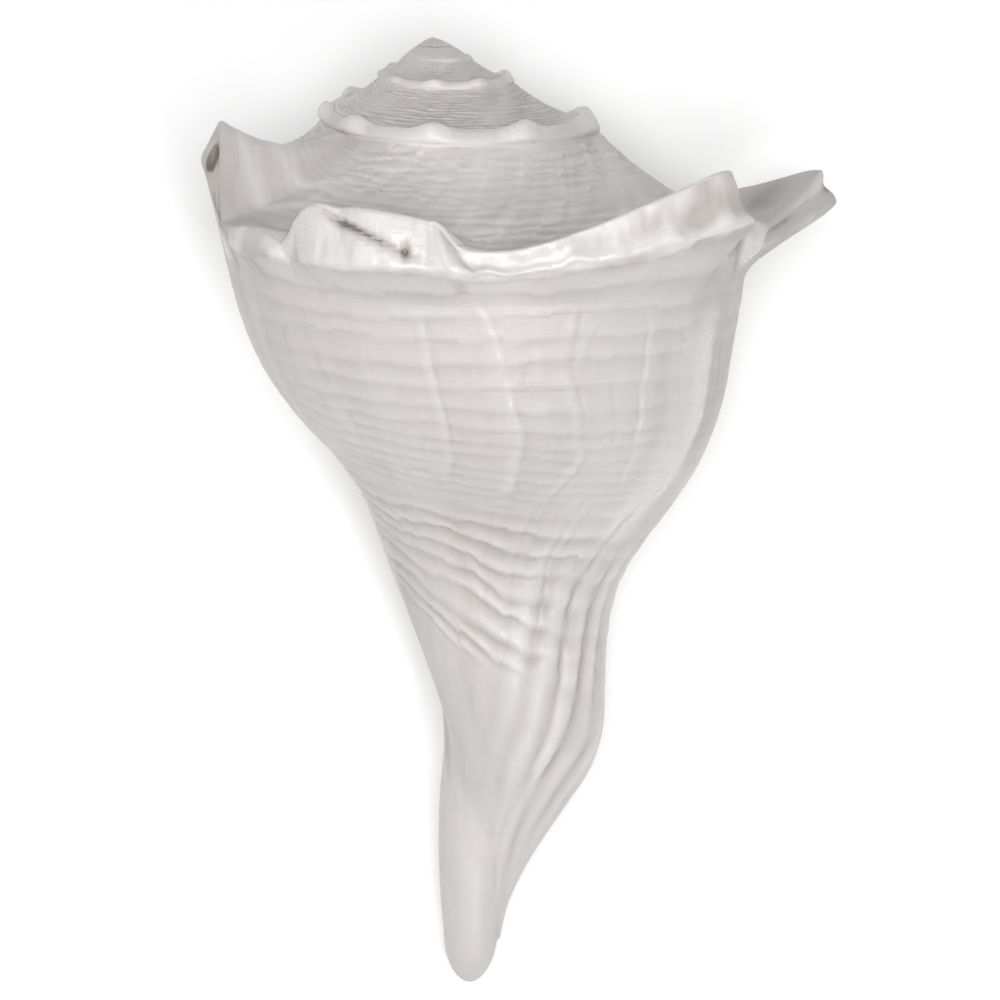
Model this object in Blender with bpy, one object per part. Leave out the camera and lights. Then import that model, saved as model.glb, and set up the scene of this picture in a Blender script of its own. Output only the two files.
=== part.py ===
"""A left-handed whelk shell, of the kind sold as a conch shell, lying on its mouth.

The shell is one solid: spire, last whorl, spines, siphonal canal and inner pillar grew as one.
It is worked out in millimetres, standing on its canal with the apex at the origin: +Z runs
towards the apex, +X to the right as its back is looked at, and +Y away from that viewer. It is
then laid down and turned into metres: +Z is up, and the apex points along +Y.

Growth is counted in turns: 0 at the outer lip, -1 one whorl before it.
"""

import math

import bmesh
import bpy
import numpy as np
from mathutils import Matrix, Vector

MM = 0.001

# Growth
WHORL_GROWTH = 2.05  # how many times larger a whorl is than the one before it
LIP_AZIMUTH = 30.0  # where the lip stands, in degrees from +X towards +Y
LEFT_TURN = (-180 - LIP_AZIMUTH) / 360  # when the left side of the back view grew
RIGHT_TURN = -LIP_AZIMUTH / 360  # when its right side grew
SPIRE_TURNS = 3.0  # whorls shown above the last one
SPIRE_FLAT = 0.13  # how much flatter the spire is than the last whorl
LIP_LEAD = 0.1  # the lip's suture end lies this many turns ahead of its keel

# The last whorl from its keel down: distance from the axis and depth below the apex, in mm, at the
# left side, at the right side and at the lip.
OUTLINE = (
    (47.0, 32.8, 65.0, 45.0, 68.5, 47.0),
    (46.2, 35.8, 64.0, 48.8, 67.4, 51.0),
    (45.0, 44.0, 62.2, 58.0, 65.6, 60.5),
    (42.8, 54.5, 59.6, 70.0, 63.0, 72.5),
    (39.0, 64.0, 56.9, 81.5, 60.0, 84.0),
    (33.0, 73.0, 51.7, 93.5, 54.4, 96.0),
    (26.8, 80.0, 45.4, 102.6, 47.6, 105.5),
    (21.6, 88.0, 37.5, 112.4, 39.2, 115.5),
    (18.7, 94.7, 32.8, 120.5, 33.8, 124.0),
    (16.8, 101.0, 30.4, 130.5, 30.4, 134.0),
    (14.6, 107.5, 29.5, 141.0, 28.0, 144.0),
    (12.2, 114.0, 28.5, 151.0, 25.4, 154.0),
    (9.9, 120.5, 25.6, 159.9, 21.8, 163.0),
    (7.9, 127.0, 19.4, 169.3, 16.6, 172.0),
    (6.2, 133.0, 13.2, 178.6, 11.8, 181.0),
    (5.4, 138.5, 8.5, 188.0, 8.2, 189.5),
    (4.9, 144.0, 5.9, 197.0, 5.6, 198.0),
)
KEEL, JOIN, CANAL_END = 0, 1, len(OUTLINE) - 1  # the next whorl is joined on at JOIN

# The pillar that the canal winds round: depth and radius, in mm
PILLAR = (
    (0, 6.0),
    (45, 12.5),
    (80, 10.5),
    (100, 8.6),
    (120, 6.8),
    (135, 5.6),
    (147, 5.1),
    (156, 6.0),
    (166, 6.9),
    (176, 7.1),
    (186, 6.7),
    (196, 5.8),
    (206, 5.0),
)
PILLAR_IN_MOUTH = 0.62  # its radius there, as a share of its full one
TIP_DEPTH, TIP_ROUND = 206.5, 9.0
BEND_FROM, BEND_LEFT = 148.0, 3.0  # the end of the canal bends to the left

# Walls and hollow, in mm at the lip's size
WALL, LIP_WALL, CANAL_WALL = 4.4, 2.4, 3.0
HOLLOW_TURNS = 0.8
LIP_ROUND = 0.9

# Spines of the last whorl, worn or broken off. Each has its turn, how far its crest is pushed out and
# up and how far the rim below its worn face is, in mm, the turns over which it rises and over which
# it falls away, how hollow the rise is, and how far up the ramp its foot reaches, in mm
SPINES = (
    (-0.880, (4.8, 4.0), (5.8, 1.0), 0.095, 0.020, 1.8, 20.0),
    (-0.735, (6.3, 4.5), (7.2, 2.0), 0.110, 0.040, 1.8, 24.0),
    (-0.569, (-2.2, 19.4), (2.6, 13.5), 0.140, 0.040, 1.0, 47.0),
    (-0.464, (1.2, 4.2), (4.8, 1.0), 0.060, 0.040, 0.9, 10.0),
    (-0.410, (1.6, 14.2), (8.0, 3.0), 0.030, 0.120, 0.9, 13.0),
    (-0.338, (0.5, 5.8), (2.4, 1.2), 0.055, 0.018, 0.8, 8.0),
    (-0.240, (0.6, 2.2), (0.8, 0.6), 0.085, 0.060, 0.3, 10.0),
    (-0.200, (1.2, 2.2), (2.6, 0.4), 0.140, 0.030, 0.4, 10.0),
    (-0.183, (12.0, 18.8), (14.6, 9.8), 0.142, 0.018, 2.0, 20.0),
    (-0.062, (18.4, 14.4), (24.6, 7.4), 0.085, 0.018, 2.8, 15.0),
)
SPINE_RIM, SPINE_BELOW = 2.0, 9.5  # how far down the body the rim and a spine's foot are, mm

# Knobs of the spire, nine to a whorl: as the spines, in mm at the lip's size
KNOB_LAST, KNOB_STEP = -1.010, 0.1105
KNOB = ((1.8, 4.4), (3.2, 2.0), 0.040, 0.030, 1.3, 7.0)

# How the upper whorls swell at their keels all the way round, as a spine does, and how far up and
# down the swelling reaches, in mm at the lip's size
SWELLING = ((-0.8, 2.8), (3.4, -0.6), 10.0, 9.0)
SWELLING_FROM, SWELLING_TO = -0.97, -3.6  # turns

# Spiral ridges round the foot of the whorl
RIDGES_FROM, RIDGES_TO, RIDGE_HEIGHT = 5.6, 9.6, 0.6

# Divisions
COLUMNS = 60  # to a turn
LEAD_COLUMNS = round(LIP_LEAD * COLUMNS)
COLLAR = (0.3, 0.6, JOIN)  # outline rows between the keel and the join
RAMP_SHARES = (0.0, 0.10, 0.27, 0.46, 0.66, 0.84, 1.0)
TIP_SHARES = (0.25, 0.5, 0.72, 0.88, 0.965, 1.0)
END_DEPTHS = (201.6, 204.6)
HOLLOW_STEP = 3  # the hollow has a loop at every third column

# How the shell lies, in degrees: turned about its axis, then laid down with its apex raised
REST_TURN, REST_SLOPE = -0.95, 11.8
WORN = 0.3  # mm worn off its feet

SHELL_COLOUR = (0.80, 0.785, 0.765, 1)


def through(points, at):
    """Reads a smooth curve through rows of points, at row numbers that may be fractions."""
    points = np.asarray(points, float)
    slope = np.gradient(points, axis=0)
    low = np.clip(np.floor(at).astype(int), 0, len(points) - 2)
    t = (at - low)[..., None]
    return (
        points[low] * (1 + 2 * t) * (1 - t) ** 2
        + slope[low] * t * (1 - t) ** 2
        + points[low + 1] * t * t * (3 - 2 * t)
        + slope[low + 1] * t * t * (t - 1)
    )


def ease(x):
    """0 up to x = 0 and 1 from x = 1, smooth between."""
    x = np.clip(x, 0, 1)
    return x * x * (3 - 2 * x)


def larger(a, b, blend=0.8):
    """The larger of two values, the crossing rounded over a width of blend."""
    h = np.clip(0.5 + (a - b) / (2 * blend), 0, 1)
    return b + (a - b) * h + blend * h * (1 - h)


def grown(left, right, lip, turn):
    """A length at any turn, from what it is at the left side, the right side and the lip."""
    left, right, lip = np.log(left), np.log(right), np.log(lip)
    early = math.log(WHORL_GROWTH)
    half = RIGHT_TURN - LEFT_TURN
    late = (lip - right) / -RIGHT_TURN
    t = np.clip((turn - LEFT_TURN) / half, 0, 1)
    between = (
        left * (1 + 2 * t) * (1 - t) ** 2
        + early * half * t * (1 - t) ** 2
        + right * t * t * (3 - 2 * t)
        + ((right - left) / half + late) / 2 * half * t * t * (t - 1)
    )
    before = left + early * (turn - LEFT_TURN)
    after = right + late * (turn - RIGHT_TURN)
    return np.exp(np.where(turn < LEFT_TURN, before, np.where(turn > RIGHT_TURN, after, between)))


def whorl(turn, row):
    """Distance from the axis and depth of a row of the outline."""
    turn, row = np.broadcast_arrays(np.asarray(turn, float), np.asarray(row, float))
    p = through(OUTLINE, row)
    radius = grown(p[..., 0], p[..., 2], p[..., 4], turn)
    depth = grown(p[..., 1], p[..., 3], p[..., 5], turn)
    return radius, depth * (1 - SPIRE_FLAT * ease((LEFT_TURN - turn) / 0.5))


def size(turn):
    """How large the whorl is at a turn, against its size at the lip."""
    return whorl(turn, KEEL)[0] / OUTLINE[KEEL][4]


def pillar(turn, depth):
    """Radius of the pillar, which is slimmer inside the mouth."""
    rows = np.interp(depth, [p[0] for p in PILLAR], np.arange(len(PILLAR)))
    near_end = np.clip((depth - TIP_DEPTH + TIP_ROUND) / TIP_ROUND, 0, 1)
    slim = PILLAR_IN_MOUTH + (1 - PILLAR_IN_MOUTH) * ease((turn + 1) / 0.22)
    return through(PILLAR, rows)[..., 1] * np.sqrt(1 - near_end**2) * slim


def place(turn, radius, depth):
    azimuth = math.radians(LIP_AZIMUTH) + 2 * math.pi * turn
    bend = np.clip((depth - BEND_FROM) / (TIP_DEPTH - BEND_FROM), 0, 1) ** 1.3 * BEND_LEFT
    x = radius * np.cos(azimuth) - bend
    return np.stack(np.broadcast_arrays(x, radius * np.sin(azimuth), -depth), axis=-1)


def spine_push(turn, distance):
    """How far spines and knobs push the surface outwards and upwards. The distance from the keel is
    in mm at the lip's size, below 0 on the ramp."""
    turn, distance = np.broadcast_arrays(turn, distance)
    scale = size(turn)
    knob_below = OUTLINE[JOIN][5] - OUTLINE[KEEL][5]
    bumps = [spine + (SPINE_BELOW, 1) for spine in SPINES]
    knob_turns = np.arange(KNOB_LAST, -1 - SPIRE_TURNS, -KNOB_STEP)
    bumps += [(turn_of_knob,) + KNOB + (knob_below, scale) for turn_of_knob in knob_turns]
    face = np.clip(distance / SPINE_RIM, 0, 1)
    soft = np.sqrt(distance**2 + 0.8**2) - 0.8
    out, up = np.zeros_like(scale), np.zeros_like(scale)
    for at, crest, rim, rise, fall, curve, above, below, times in bumps:
        up_ramp = np.clip(1 - soft / above, 0, 1) ** 1.5
        share = np.where(distance < 0, up_ramp, ease((below - distance) / (below - SPINE_RIM)))
        before = np.clip(1 + (turn - at) / rise, 0, 1) ** curve
        push = np.where(turn < at, before, 1 - ease((turn - at) / fall)) * share * times
        out += push * (crest[0] + (rim[0] - crest[0]) * face)
        up += push * (crest[1] + (rim[1] - crest[1]) * face)
    crest, rim, above, below = SWELLING
    up_ramp = np.clip(1 - soft / above, 0, 1) ** 1.5
    share = np.where(distance < 0, up_ramp, ease((below - distance) / (below - SPINE_RIM)))
    push = share * scale * ease((SWELLING_FROM - turn) / 0.06) * ease((turn - SWELLING_TO) / 0.4)
    out += push * (crest[0] + (rim[0] - crest[0]) * face)
    up += push * (crest[1] + (rim[1] - crest[1]) * face)
    return out, up


def ridge(row):
    """Height of the spiral ridges: every other row of the ridged stretch stands up."""
    fade = ease((row - RIDGES_FROM) / 0.8) * ease((RIDGES_TO - row) / 0.8)
    return fade * RIDGE_HEIGHT * np.cos(2 * math.pi * (row - RIDGES_FROM) / 0.8)


def body_point(turn, row):
    """The outside from the keel to the end of the canal."""
    radius, depth = whorl(turn, row)
    p = through(OUTLINE, np.asarray(row, float))
    out, up = spine_push(turn, p[..., 5] - OUTLINE[KEEL][5])
    radius = larger(radius, pillar(turn, depth)) + ridge(row) * size(turn) + out
    return place(turn, radius, depth - up)


def lead(share):
    return LIP_LEAD * (1 - share)


def ramp_profile(turn, share):
    """Distance from the axis and depth on the ramp, which is hollow like a saucer. The share is 0
    at the suture and 1 at the keel."""
    ahead = turn + lead(share)
    suture_r, suture_z = whorl(ahead - 1, JOIN)
    keel_r, keel_z = whorl(ahead, KEEL)
    across, down = keel_r - suture_r, keel_z - suture_z
    sag = 0.05 * np.sin(math.pi * share)
    return suture_r + across * share - sag * down, suture_z + down * share + sag * across


def ramp_point(turn, share):
    ahead = turn + lead(share)
    radius, depth = ramp_profile(turn, share)
    keel_r, keel_z = whorl(ahead, KEEL)
    suture_r, suture_z = whorl(ahead - 1, JOIN)
    width = np.hypot(keel_r - suture_r, keel_z - suture_z) / size(ahead)
    out, up = spine_push(turn, (share - 1) * width)
    join_out, join_up = spine_push(ahead - 1, OUTLINE[JOIN][5] - OUTLINE[KEEL][5])
    near = (1 - share) ** 4
    return place(ahead, radius + out + join_out * near, depth - up - join_up * near)


def pillar_point(turn, share, end_depth):
    """The pillar from the end of the canal's wall, at share 0, to end_depth at share 1."""
    wall_r, wall_z = whorl(turn, CANAL_END)
    depth = wall_z + (end_depth - wall_z) * share
    return place(turn, larger(wall_r - (depth - wall_z), pillar(turn, depth)), depth)


def along(line):
    """How far along a line of points each of them lies, from 0 to 1."""
    total = np.append(0, np.cumsum(np.hypot(*np.diff(line, axis=0).T)))
    return total / total[-1]


def outer_line(turn, shares, rows):
    """Radius and depth of the outside without its spines."""
    body = np.stack(whorl(turn, rows), axis=1)
    return np.concatenate([np.stack(ramp_profile(turn, shares), axis=1), body])


def inset(line, wall):
    """The line set in by the wall, without the loop that a corner would make."""
    step = np.gradient(line, axis=0)
    length = np.hypot(*step.T)
    inner = line + np.stack([-step[:, 1], step[:, 0]], axis=1) * (wall / length)[:, None]
    gap = np.hypot(*(inner[:, None] - line[None]).transpose(2, 0, 1)).min(axis=1)
    return inner[gap > 0.98 * wall]


def hollow_points(turn, shares, rows):
    """The inside of the outer wall, a point for each share of the ramp and row of the body."""
    all_shares = np.linspace(shares[0], 1, 80)
    all_rows = np.linspace(KEEL, rows[-1], 240)[1:]
    wall = LIP_WALL + (WALL - LIP_WALL) * ease(-turn / 0.15)
    canal = ease((np.append(all_shares * 0, all_rows) - 7) / 6)
    wall = (wall + (CANAL_WALL - wall) * canal) * size(turn)
    inner = inset(outer_line(turn, all_shares, all_rows), wall)
    at = along(outer_line(turn, shares, rows))
    radius, depth = (np.interp(at, along(inner), part) for part in inner.T)
    turns = np.append(turn + lead(shares), np.full(len(rows), turn))
    return place(turns, larger(radius, pillar(turn - 1, depth) + 1.0, 0.3), depth)


class Solid:
    """Points and faces that are gathered before they become a mesh."""

    def __init__(self):
        self.points, self.faces = [], []

    def add(self, points):
        first = len(self.points)
        points = np.asarray(points).reshape(-1, 3)
        self.points.extend(points.tolist())
        return list(range(first, first + len(points)))

    def strip(self, one, other):
        """Faces between two rows of points. Where points are shared, a face loses a corner."""
        for a, b, c, d in zip(one, one[1:], other[1:], other):
            corners = list(dict.fromkeys((a, b, c, d)))
            if len(corners) > 2:
                self.faces.append(corners)


def body_rows():
    """Outline rows below the one where the next whorl joins."""
    upper = np.linspace(JOIN, RIDGES_FROM, 7)[1:]
    ridged = np.linspace(RIDGES_FROM, RIDGES_TO, 11)[1:]
    lower = np.linspace(RIDGES_TO, CANAL_END, 7)[1:]
    return np.concatenate([upper, ridged, lower])


def build_outside(solid):
    """The outside of the whorls, a list of points for each column, from the suture down."""
    shares, rows = np.array(RAMP_SHARES[1:]), body_rows()
    last = round(COLUMNS * (1 + SPIRE_TURNS))
    columns = []
    for i in range(last + 1):
        turn = -i / COLUMNS
        below_keel = np.append(COLLAR, rows) if i <= COLUMNS else np.array(COLLAR)
        column = solid.add(ramp_point(np.full(len(shares), turn), shares))
        column += solid.add(body_point(np.full(len(below_keel), turn), below_keel))
        columns.append(column)
    join = len(shares) + len(COLLAR) - 1
    apex = solid.add([(0, 0, 0)])[0]
    overlap = COLUMNS - LEAD_COLUMNS
    sutures = [columns[i + overlap][join] for i in range(last + 1 - overlap)] + [apex] * overlap
    columns = [[suture] + column for suture, column in zip(sutures, columns)]
    for row in range(join + 1):
        solid.strip([c[row] for c in columns], [c[row + 1] for c in columns])
    solid.faces.append(columns[last][: join + 2])
    for k in range(len(rows)):
        upper = [c[join + 1 + k] for c in columns[: COLUMNS - mouth_lead(k) + 1]]
        lower = [c[join + 2 + k] for c in columns[: COLUMNS - mouth_lead(k + 1) + 1]]
        upper += upper[-1:] * (len(lower) - len(upper))
        solid.strip(upper, lower)
    return columns


def mouth_lead(k):
    """By how many columns the mouth's edge leads on the whorl within, k rows below the suture."""
    return np.maximum(LEAD_COLUMNS - k, 0)


def build_tip(solid, columns):
    """The pillar below the canal's wall. Returns its points along the edge of the mouth."""
    upper = [column[-1] for column in columns[: COLUMNS + 1]]
    turns = -np.arange(COLUMNS + 1) / COLUMNS
    end = upper[0]
    end_depth = OUTLINE[CANAL_END][5]
    edge = []
    for share in TIP_SHARES:
        lower = [end] + solid.add(pillar_point(turns[1:], share, end_depth))
        if share == 1:
            lower[-1] = end
        edge.append(lower[-1])
        solid.strip(upper, lower)
        upper = lower
    for depth in END_DEPTHS:
        lower = solid.add(place(turns[:-1], pillar(turns[:-1], depth), depth))
        lower.append(lower[0])
        solid.strip(upper, lower)
        upper = lower
    tip = solid.add([(-BEND_LEFT, 0, -TIP_DEPTH)])
    solid.strip(upper, tip * len(upper))
    return edge


def build_hollow(solid, columns, tip_edge):
    """The lip's rim and the hollow that winds back from it."""
    shares, rows = np.array(RAMP_SHARES[1:]), body_rows()
    join = len(shares) + len(COLLAR)
    lip = columns[0]
    inner = [columns[COLUMNS - mouth_lead(k + 1)][join + 1 + k] for k in range(len(rows))]
    inner += tip_edge[:-1]
    outer_rows = np.append(COLLAR, rows[:-1])
    outer = solid.add(hollow_points(0.0, shares, outer_rows))
    azimuth = math.radians(LIP_AZIMUTH)
    ahead = np.array((-math.sin(azimuth), math.cos(azimuth), 0)) * LIP_ROUND
    points = np.array(solid.points)
    edge = solid.add((points[lip[1:-1]] + points[outer]) / 2 + ahead)
    solid.strip(lip, [lip[0]] + edge + [lip[-1]])
    solid.strip([lip[0]] + edge + [lip[-1]], [inner[0]] + outer + [inner[-1]])
    leads = mouth_lead(1 + np.arange(len(rows))) / COLUMNS
    loop = None
    for i in range(0, round(HOLLOW_TURNS * COLUMNS) + 1, HOLLOW_STEP):
        turn = -i / COLUMNS
        if i:
            outer = solid.add(hollow_points(turn, shares, outer_rows))
            inner = solid.add(body_point(turn - 1 + leads, rows))
            end_depth = whorl(turn, CANAL_END)[1]
            inner += solid.add(pillar_point(turn - 1, np.array(TIP_SHARES[:-1]), end_depth))
        deeper = inner[:1] + outer + inner[::-1]
        if loop:
            solid.strip(loop, deeper)
        loop = deeper
    outer = inner[:1] + outer + inner[-1:]
    nearest = np.linspace(0, len(inner) - 1, len(outer)).round().astype(int)
    solid.strip(outer, [inner[k] for k in nearest])


def lay_down(points):
    """Turns the shell onto its mouth, stands it on z = 0 and wears its feet flat."""
    turn = Matrix.Rotation(math.radians(REST_TURN), 3, "Z")
    pitch = Matrix.Rotation(math.radians(REST_SLOPE - 90), 3, "X")
    points = points @ np.array(pitch @ turn).T
    low, high = points.min(axis=0), points.max(axis=0)
    points -= ((low[0] + high[0]) / 2, (low[1] + high[1]) / 2, low[2] + WORN)
    points[:, 2] = np.maximum(points[:, 2], 0)
    return points


def shell_material():
    material = bpy.data.materials.new("shell")
    material.use_nodes = True
    shader = material.node_tree.nodes["Principled BSDF"]
    shader.inputs["Base Color"].default_value = SHELL_COLOUR
    shader.inputs["Roughness"].default_value = 0.42
    shader.inputs["Metallic"].default_value = 0
    material.diffuse_color = SHELL_COLOUR
    return material


def build_shell():
    solid = Solid()
    columns = build_outside(solid)
    tip_edge = build_tip(solid, columns)
    build_hollow(solid, columns, tip_edge)
    mesh = bpy.data.meshes.new("shell")
    mesh.from_pydata((lay_down(np.array(solid.points)) * MM).tolist(), [], solid.faces)
    work = bmesh.new()
    work.from_mesh(mesh)
    bmesh.ops.triangulate(work, faces=work.faces, quad_method="SHORT_EDGE")
    bmesh.ops.recalc_face_normals(work, faces=work.faces)
    work.to_mesh(mesh)
    work.free()
    mesh.shade_smooth()
    mesh.materials.append(shell_material())
    shell = bpy.data.objects.new("shell", mesh)
    bpy.context.collection.objects.link(shell)
    return shell


def main():
    for old in list(bpy.data.objects):
        bpy.data.objects.remove(old)
    build_shell()


if __name__ == "__main__":
    main()
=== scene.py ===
"""The looks of a white left-handed whelk shell, of the kind sold as a conch, seen from its back.

The shell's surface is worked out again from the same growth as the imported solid, on a finer grid,
with its cords, growth lines, knobs, broken spines and pits. As there, it is worked out in
millimetres, standing on its canal with the apex at the origin: +Z runs towards the apex, +X to the
right as its back is looked at, and +Y away from that viewer. It is then laid down where the
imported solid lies. Growth is counted in turns: 0 at the outer lip, -1 one whorl before it.
"""

import math

import bmesh
import bpy
import numpy as np
from mathutils import Matrix, Vector


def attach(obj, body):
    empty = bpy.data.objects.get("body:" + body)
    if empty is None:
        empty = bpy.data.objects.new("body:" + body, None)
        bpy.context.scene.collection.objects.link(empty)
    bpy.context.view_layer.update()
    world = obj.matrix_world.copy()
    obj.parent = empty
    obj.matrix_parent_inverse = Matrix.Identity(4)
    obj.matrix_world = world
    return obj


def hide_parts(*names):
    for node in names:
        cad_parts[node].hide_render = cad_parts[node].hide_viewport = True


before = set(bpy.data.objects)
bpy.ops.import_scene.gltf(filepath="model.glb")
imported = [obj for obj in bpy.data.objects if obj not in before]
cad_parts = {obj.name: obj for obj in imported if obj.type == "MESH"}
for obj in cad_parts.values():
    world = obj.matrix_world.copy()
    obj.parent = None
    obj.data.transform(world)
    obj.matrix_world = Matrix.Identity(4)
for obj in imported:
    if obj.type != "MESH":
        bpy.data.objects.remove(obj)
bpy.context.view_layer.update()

MM = 0.001

# Growth
WHORL_GROWTH = 2.05  # how many times larger a whorl is than the one before it
LIP_AZIMUTH = 30.0  # where the lip stands, in degrees from +X towards +Y
LEFT_TURN = (-180 - LIP_AZIMUTH) / 360  # when the left side of the back view grew
RIGHT_TURN = -LIP_AZIMUTH / 360  # when its right side grew
SPIRE_TURNS = 4  # whorls shown above the last one
SPIRE_FLAT = 0.13  # how much flatter the spire is than the last whorl
LIP_LEAD = 0.1  # the lip's suture end lies this many turns ahead of its keel

# The last whorl from its keel down: distance from the axis and depth below the apex, in mm, at the
# left side, at the right side and at the lip.
OUTLINE = (
    (47.0, 32.8, 65.0, 45.0, 68.5, 47.0),
    (46.2, 35.8, 64.0, 48.8, 67.4, 51.0),
    (45.0, 44.0, 62.2, 58.0, 65.6, 60.5),
    (42.8, 54.5, 59.6, 70.0, 63.0, 72.5),
    (39.0, 64.0, 56.9, 81.5, 60.0, 84.0),
    (33.0, 73.0, 51.7, 93.5, 54.4, 96.0),
    (26.8, 80.0, 45.4, 102.6, 47.6, 105.5),
    (21.6, 88.0, 37.5, 112.4, 39.2, 115.5),
    (18.7, 94.7, 32.8, 120.5, 33.8, 124.0),
    (16.8, 101.0, 30.4, 130.5, 30.4, 134.0),
    (14.6, 107.5, 29.5, 141.0, 28.0, 144.0),
    (12.2, 114.0, 28.5, 151.0, 25.4, 154.0),
    (9.9, 120.5, 25.6, 159.9, 21.8, 163.0),
    (7.9, 127.0, 19.4, 169.3, 16.6, 172.0),
    (6.2, 133.0, 13.2, 178.6, 11.8, 181.0),
    (5.4, 138.5, 8.5, 188.0, 8.2, 189.5),
    (4.9, 144.0, 5.9, 197.0, 5.6, 198.0),
)
KEEL, JOIN, CANAL_END = 0, 1, len(OUTLINE) - 1  # the next whorl is joined on at JOIN

# The pillar that the canal winds round: depth and radius, in mm
PILLAR = (
    (0, 6.0), (45, 12.5), (80, 10.5), (100, 8.6), (120, 6.8),
    (135, 5.6), (147, 5.1), (156, 6.0), (166, 6.9), (176, 7.1),
    (186, 6.7), (196, 5.8), (206, 5.0),
)
PILLAR_IN_MOUTH = 0.62  # its radius there, as a share of its full one
TIP_DEPTH, TIP_ROUND = 206.5, 9.0
BEND_FROM, BEND_LEFT = 148.0, 3.0  # the end of the canal bends to the left

# Walls and hollow, in mm at the lip's size
WALL, LIP_WALL, CANAL_WALL = 4.4, 2.4, 3.0
HOLLOW_TURNS = 0.8
LIP_ROUND = 0.9

# Spines of the last whorl, worn or broken off. Each has its turn, how far its crest is pushed out and
# up and how far the rim below its worn face is, in mm, the turns over which it rises and over which
# it falls away, how hollow the rise is, and how far up the ramp its foot reaches, in mm
SPINES = (
    (-0.880, (4.8, 4.0), (5.8, 1.0), 0.095, 0.020, 1.8, 20.0),
    (-0.735, (6.3, 4.5), (7.2, 2.0), 0.110, 0.040, 1.8, 24.0),
    (-0.569, (-2.2, 19.4), (2.6, 13.5), 0.140, 0.040, 1.0, 47.0),
    (-0.464, (1.2, 4.2), (4.8, 1.0), 0.060, 0.040, 0.9, 10.0),
    (-0.410, (1.6, 14.2), (8.0, 3.0), 0.030, 0.120, 0.9, 13.0),
    (-0.338, (0.5, 5.8), (2.4, 1.2), 0.055, 0.018, 0.8, 8.0),
    (-0.240, (0.6, 2.2), (0.8, 0.6), 0.085, 0.060, 0.3, 10.0),
    (-0.200, (1.2, 2.2), (2.6, 0.4), 0.140, 0.030, 0.4, 10.0),
    (-0.183, (12.0, 18.8), (14.6, 9.8), 0.142, 0.018, 2.0, 20.0),
    (-0.062, (18.4, 14.4), (24.6, 7.4), 0.085, 0.018, 2.8, 15.0),
)
SPINE_RIM, SPINE_BELOW = 2.0, 9.5  # how far down the body the rim and a spine's foot are, mm

TIP_SOFT, RIM_LATER = 0.006, 0.008  # how round a spine's tip is, and how far its rim runs on, turns

# Knobs of the spire, nine to a whorl: as the spines, in mm at the lip's size
KNOB_LAST, KNOB_STEP = -1.010, 0.1105
KNOB = ((1.8, 4.4), (3.2, 2.0), 0.040, 0.030, 1.3, 7.0)

# How the upper whorls swell at their keels all the way round, as a spine does, and how far up and
# down the swelling reaches, in mm at the lip's size
SWELLING = ((-0.8, 2.8), (3.4, -0.6), 10.0, 9.0)
SWELLING_FROM, SWELLING_TO = -0.97, -3.6  # turns

# Grid: columns in each whorl from the last one up, and how much closer they stand at the front
WHORL_COLUMNS = (560, 260, 130, 64, 36)
FRONT_FROM, FRONT_TO, FRONT_CLOSER = -0.56, -0.04, 1.9
RAMP_ROWS, COLLAR_ROWS = 72, 20
UPPER_ROWS, LOWER_ROWS, LOWER_FROM = 150, 52, 10.2
TIP_ROWS, END_ROWS = 12, 10
HOLLOW_LOOPS = 60
HOLLOW_LEVEL = 20.0  # the hollow's row in the growth layer, past all the rows of the outside
MOST_TRIANGLES = 192000
SOFTEN_LAST, SOFTEN_UPPER = 3, 26  # steps of smoothing across the keel
SOFTEN_ALSO, SOFTEN_AT, SOFTEN_WIDE = 0.8, -0.49, 0.035  # more of it after the left spine, turns
APEX_WITHIN, APEX_BLEND = 9.0, 4.0  # mm from the axis
APEX_SLOPE, APEX_ROUND = 0.70, 1.5  # slope of the spire, and mm
PILLAR_BLEND = 2.2  # how widely the wall runs into the pillar, mm
SEAM_UPPER, SEAM_BODY = 0.05, 0.03  # turns over which the relief fades at the whorl that covers it
FIRST_RELIEF = -2.9  # no fine relief on the spire before this turn

# How the shell lies, in degrees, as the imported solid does
REST_TURN, REST_SLOPE = -0.95, 11.8


def curve(start, leaving, end, arriving, t):
    """A smooth curve from start to end as t goes from 0 to 1, with its slopes there."""
    return (
        start * (1 + 2 * t) * (1 - t) ** 2
        + leaving * t * (1 - t) ** 2
        + end * t * t * (3 - 2 * t)
        + arriving * t * t * (t - 1)
    )


def through(points, at):
    """Reads a smooth curve through rows of points, at row numbers that may be fractions."""
    points = np.asarray(points, float)
    slope = np.gradient(points, axis=0)
    low = np.clip(np.floor(at).astype(int), 0, len(points) - 2)
    t = (at - low)[..., None]
    return curve(points[low], slope[low], points[low + 1], slope[low + 1], t)


def ease(x):
    """0 up to x = 0 and 1 from x = 1, smooth between."""
    x = np.clip(x, 0, 1)
    return x * x * (3 - 2 * x)


def bell(x, width):
    """1 at x = 0, falling to 0 on both sides."""
    return np.exp(-((x / width) ** 2))


def larger(a, b, blend=0.8):
    """The larger of two values, the crossing rounded over a width of blend."""
    h = np.clip(0.5 + (a - b) / (2 * blend), 0, 1)
    return b + (a - b) * h + blend * h * (1 - h)


def scattered(i, j, seed):
    """A number from -1 to 1 that belongs to a pair of whole numbers."""
    h = (i * 374761393 + j * 668265263 + seed * 362437) & 0xFFFFFFFF
    h = ((h ^ (h >> 13)) * 1274126177) & 0xFFFFFFFF
    return ((h ^ (h >> 16)) & 0xFFFF) / 32767.5 - 1


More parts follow.
